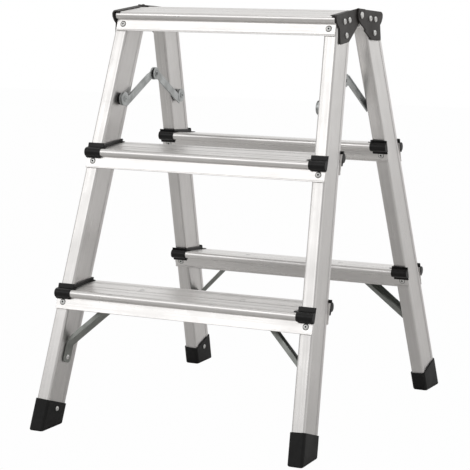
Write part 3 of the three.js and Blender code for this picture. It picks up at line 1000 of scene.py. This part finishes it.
class LADDER_OT_rivets(bpy.types.Operator):
    """Turn the rivets of the hinge plates, boots, aprons and braces"""

    bl_idname = "step_ladder.rivets"
    bl_label = "Rivets"

    def execute(self, context):
        sizes = settings(context)[0]
        for half in HALVES:
            for side in SIDES:
                outward = stile_outward(half, side)
                for number in (1, 2, 3):
                    node = f"{half}_{side}_plate_rivet_{number}"
                    self.round_head(node, outward, height=2.1 * MM, head=4.7 * MM)
                node = f"{half}_{side}_foot_rivet"
                self.round_head(node, -outward, height=1.8 * MM, head=4.0 * MM)
            self.apron_rivets(half, sizes)
            self.brace_rivets(half, sizes)
        return {"FINISHED"}

    def round_head(self, node, direction, height, head):
        """Turns a clenched rivet in the place of a node."""
        middle, low, high = axis_span(node, direction)
        bm = bmesh.new()
        spun(bm, dome_profile(low, high - height, high, 2.0 * MM, head), middle, direction)
        stand_in(node, closed(bm), rivet_metal())

    def apron_rivets(self, half, sizes):
        """Blind rivets through both aprons, near each end of every tread."""
        rings = bmesh.new()
        # The second mesh is painted shadow: dark rings under the rivets' flanges and black stubs
        # in their bores, where shade falls.
        painted_shadows = bmesh.new()
        blind = blind_profile(sizes.apron_rivet, APRON_RIVET_BORE)
        for level, station in TREAD_STATIONS.items():
            ends = outer_side(station - APRON_RIVET_DROP[-1])
            reach = TOP_TREAD_HALF_LENGTH if level == "top" else ends
            for face, drop in APRON_RIVET_DROP.items():
                away = lean_direction(half, 0, face, 0)
                for hand in SIDES.values():
                    x = hand * (reach - APRON_RIVET_INSET)
                    place = lean_point(half, x, face * APRON_FACE, station - drop)
                    spun(rings, blind, place, away, RIVET_STEPS)
                    spun(painted_shadows, RIVET_SHADOW_RING, place, away, RIVET_STEPS)
                    spun(painted_shadows, BORE_STUB, place + away * APRON_STUB_LIFT, away, steps=16)
        for name, bm, material in (
            ("apron_rivets", rings, rivet_metal()),
            ("apron_rivet_shadows", painted_shadows, painted_shade_black()),
        ):
            new_piece(f"{half}_{name}", closed(bm), material, f"{half}_frame")

    def brace_rivets(self, half, sizes):
        """Rivets at both ends of the corner braces, and a small pin head outside each stile."""
        bm = bmesh.new()
        up = tread_directions(half)[1]
        blind = blind_profile(sizes.brace_rivet, BRACE_RIVET_BORE)
        for side, hand in SIDES.items():
            outward = stile_outward(half, side)
            x = hand * (inner_side(BRACE_RIVET_ALONG) - BRACE_FACE)
            spun(bm, blind, lean_point(half, x, 0, BRACE_RIVET_ALONG), -outward, RIVET_STEPS)
            base = lean_point(half, hand * BRACE_TAB_RIVET_X, 0, TREAD_STATIONS["bottom"])
            spun(bm, flush_profile(), base, up, RIVET_STEPS)
            spun(bm, blind, base - up * BRACE_TAB_BELOW, -up, RIVET_STEPS)
            x = hand * (outer_side(TREAD_PIN_ALONG) - TREAD_PIN_SINK)
            pin = lean_point(half, x, TREAD_PIN_ACROSS, TREAD_PIN_ALONG)
            spun(bm, flush_profile(TREAD_PIN_SIZE), pin, outward, steps=20)
        new_piece(
            f"{half}_brace_rivets", closed(bm), rivet_metal(), f"{half}_frame"
        )


class LADDER_OT_stays(bpy.types.Operator):
    """Finish the folding stays with their washers and pivots"""

    bl_idname = "step_ladder.stays"
    bl_label = "Folding Stays"

    def execute(self, context):
        colours = settings(context)[1]
        for side, hand in SIDES.items():
            inward = Vector((-hand, 0, 0))
            for half in HALVES:
                node = f"{half}_{side}_stay"
                bm = merged_copy(node)
                face = min(abs(vert.co.x) for vert in bm.verts) + 0.1 * MM
                finish_node(node, bm, stay_plate(colours))
                self.pivot(half, side, inward, face, colours)
            self.centre_joint(side, inward, colours)
        return {"FINISHED"}

    def pivot(self, half, side, inward, face, colours):
        """A black spacer behind the link's eye, painted shadow for the dark gap there, and a
        washer over it with a tubular rivet.
        """
        node = f"{half}_{side}_stay_pivot"
        middle, low, _ = axis_span(node, inward)
        front = abs(middle.x) - face  # height of the link's inner face along the axis
        back = front - STAY_THICKNESS
        bm = bmesh.new()
        spun(bm, washer_profile(low, back, front), middle, inward, WASHER_STEPS)
        stand_in(node, closed(bm), stay_plate(colours))
        # The spacer is black plastic as painted shadow: it fills the gap between the stile and the
        # link, where the shade falls.
        bm = bmesh.new()
        spacer = ring_profile(low + 0.2 * MM, back - 3.0 * MM, 2.7 * MM, 9.2 * MM, 9.8 * MM)
        spun(bm, spacer, middle, inward, WASHER_STEPS)
        name = f"{half}_{side}_stay_shadow_spacer"
        new_piece(name, closed(bm), cap_plastic(colours), BODY_OF[node])

    def centre_joint(self, side, inward, colours):
        """The rivet between two stays, with a black ring behind its washer and a black plug in its
        head, both painted shadow.
        """
        node = f"{side}_stay_rivet"
        middle, low, high = axis_span(node, inward)
        top = high + 1.0 * MM
        bm = bmesh.new()
        spun(bm, centre_profile(low, top), middle, inward, WASHER_STEPS)
        stand_in(node, closed(bm), stay_plate(colours))
        # The ring behind the washer and the plug in the tubular head are black as painted shadow:
        # the dark gap under the washer and the shade inside the head.
        bm = bmesh.new()
        ring = ring_profile(high - 2.2 * MM, top - 1.7 * MM, 2.8 * MM, 8.6 * MM, 8.6 * MM)
        spun(bm, ring, middle, inward, WASHER_STEPS)
        shade_plug = [
            (top - 1.15 * MM, 0.0),
            (top - 1.15 * MM, 2.15 * MM),
            (top - 0.8 * MM, 2.0 * MM),
            (top - 0.8 * MM, 0.0),
        ]
        spun(bm, shade_plug, middle, inward, steps=24)
        name = f"{side}_stay_shadow_ring"
        new_piece(name, closed(bm), cap_plastic(colours), BODY_OF[node])


class LADDER_OT_braces(bpy.types.Operator):
    """Finish the corner braces in dull plate"""

    bl_idname = "step_ladder.braces"
    bl_label = "Corner Braces"

    def execute(self, context):
        sizes, colours = settings(context)
        for half, side in CORNERS:
            node = f"{half}_{side}_corner_brace"
            bm = cleaned_copy(node)
            along = lean_direction(half, 0, 0, 1)
            outward = stile_outward(half, side)
            foot = min(vert.co.dot(along) for vert in bm.verts) + 1.0 * MM
            ends = [
                edge
                for edge in corners(bm, angle=math.radians(60))
                if all(vert.co.dot(along) < foot for vert in edge.verts)
                and abs(direction_of(edge).dot(outward)) > NEARLY_PARALLEL
            ]
            ease(bm, ends, sizes.brace_foot, segments=6)
            ease(bm, corners(bm, shortest=2.5 * MM), sizes.brace_ease, segments=1)
            finish_node(node, bm, brace_plate(colours))
        return {"FINISHED"}


# Stage ------------------------------------------------------------------------------------------


def area_light(name, place, target, width, height, power):
    """A rectangular light at a place, facing a target."""
    light = bpy.data.lights.new(name, "AREA")
    light.shape = "RECTANGLE"
    light.size = width
    light.size_y = height
    light.energy = power
    lamp = bpy.data.objects.new(name, light)
    lamp.location = place
    lamp.rotation_euler = (Vector(target) - Vector(place)).to_track_quat("-Z", "Y").to_euler()
    bpy.context.scene.collection.objects.link(lamp)


class LADDER_OT_stage(bpy.types.Operator):
    """Set the pale floor, the soft studio light and the camera"""

    bl_idname = "step_ladder.stage"
    bl_label = "Stage"

    def execute(self, context):
        self.floor(settings(context)[1])
        self.world(context.scene)
        area_light(
            "Front softbox",
            place=(-1.5, -2.9, 2.25),
            target=(0, 0, 0.35),
            width=2.4,
            height=1.9,
            power=17.5,
        )
        area_light(
            "Top softbox",
            place=(0.2, -0.2, 2.8),
            target=(0, 0, 0.3),
            width=1.6,
            height=1.6,
            power=10,
        )
        self.camera(context.scene)
        context.scene.view_settings.view_transform = "Standard"
        return {"FINISHED"}

    def floor(self, colours):
        """A pale floor a hair under the soles, almost white to the camera."""
        bm = bmesh.new()
        bmesh.ops.create_grid(bm, x_segments=1, y_segments=1, size=6.0)
        bmesh.ops.translate(bm, verts=bm.verts, vec=(0, 0, -0.2 * MM))
        mesh = bpy.data.meshes.new("Floor")
        bm.to_mesh(mesh)
        bm.free()
        floor = bpy.data.objects.new("Floor", mesh)
        bpy.context.scene.collection.objects.link(floor)
        material = bpy.data.materials.new("Pale floor")
        material.use_nodes = True
        tree = material.node_tree
        shader = tree.nodes["Principled BSDF"]
        ground = tree.nodes.new("ShaderNodeTexCoord").outputs["Object"]
        parts = add(tree, "ShaderNodeSeparateXYZ", Vector=ground)
        back = spread(tree, parts.outputs["Y"], -1.0, 1.4)
        paler = blend_colour(tree, back, (0.50, 0.495, 0.485, 1), (0.8, 0.79, 0.785, 1))
        tree.links.new(paler, shader.inputs["Base Color"])
        shader.inputs["Roughness"].default_value = 0.8
        white = add(tree, "ShaderNodeEmission", Color=tuple(colours.floor), Strength=1.1)
        surface = tree.nodes["Material Output"].inputs["Surface"]
        hide_from_camera(tree, shader.outputs[0], white.outputs[0], surface)
        mesh.materials.append(material)

    def world(self, scene):
        """A pale sky, dimmer towards the front and overhead, plain white to the camera."""
        world = bpy.data.worlds.new("Studio")
        world.use_nodes = True
        scene.world = world
        tree = world.node_tree
        backdrop = tree.nodes["Background"]
        place = tree.nodes.new("ShaderNodeTexCoord").outputs["Generated"]
        parts = add(tree, "ShaderNodeSeparateXYZ", Vector=place)
        height = spread(tree, parts.outputs["Z"], -0.1, 0.6, 0.95, 0.84)
        depth = spread(tree, parts.outputs["Y"], -0.6, 0.5, 0.66, 1.0)
        level = math_node(tree, "MULTIPLY", height, depth)
        tree.links.new(level, backdrop.inputs["Strength"])
        backdrop.inputs["Color"].default_value = (1, 0.995, 0.985, 1)
        white = add(tree, "ShaderNodeBackground", Color=(1, 1, 1, 1), Strength=1.0)
        surface = tree.nodes["World Output"].inputs["Surface"]
        hide_from_camera(tree, backdrop.outputs[0], white.outputs[0], surface)

    def camera(self, scene):
        """A long lens at the ladder's front right, looking a little down."""
        data = bpy.data.cameras.new("Camera")
        data.lens = 135.6
        data.sensor_width = 36
        camera = bpy.data.objects.new("Camera", data)
        right = Vector((0.8983, 0.4393, 0.0057))
        up = Vector((-0.0726, 0.1357, 0.9881))
        back = Vector((0.4333, -0.8880, 0.1539))
        place = Vector((1.25172, -2.60714, 0.74019))
        turn = Matrix((right, up, back)).transposed()
        camera.matrix_world = Matrix.Translation(place) @ turn.to_4x4()
        scene.collection.objects.link(camera)
        scene.camera = camera


class LADDER_PT_panel(bpy.types.Panel):
    """Buttons and settings of the step ladder"""

    bl_idname = "LADDER_PT_panel"
    bl_label = "Step Ladder"
    bl_space_type = "VIEW_3D"
    bl_region_type = "UI"
    bl_category = "Step Ladder"

    def draw(self, context):
        layout = self.layout
        for operator in OPERATORS:
            layout.operator(operator.bl_idname)
        for group in settings(context):
            column = layout.column()
            for name in group.bl_rna.properties.keys():
                if name not in ("rna_type", "name"):
                    column.prop(group, name)


OPERATORS = (
    LADDER_OT_stage,
    LADDER_OT_treads,
    LADDER_OT_stiles,
    LADDER_OT_boots,
    LADDER_OT_end_caps,
    LADDER_OT_hinges,
    LADDER_OT_rivets,
    LADDER_OT_stays,
    LADDER_OT_braces,
)
CLASSES = (LADDER_PG_sizes, LADDER_PG_colours, LADDER_PG_settings, *OPERATORS, LADDER_PT_panel)


def register():
    for cls in CLASSES:
        bpy.utils.register_class(cls)
    bpy.types.Scene.step_ladder = bpy.props.PointerProperty(type=LADDER_PG_settings)
    drawn_grain_group()
    handling_group()
    stipple_group()


def unregister():
    del bpy.types.Scene.step_ladder
    for cls in reversed(CLASSES):
        bpy.utils.unregister_class(cls)


def main():
    register()
    bpy.ops.step_ladder.stage()
    bpy.ops.step_ladder.treads()
    bpy.ops.step_ladder.stiles()
    bpy.ops.step_ladder.boots()
    bpy.ops.step_ladder.end_caps()
    bpy.ops.step_ladder.hinges()
    bpy.ops.step_ladder.rivets()
    bpy.ops.step_ladder.stays()
    bpy.ops.step_ladder.braces()


if __name__ == "__main__":
    main()
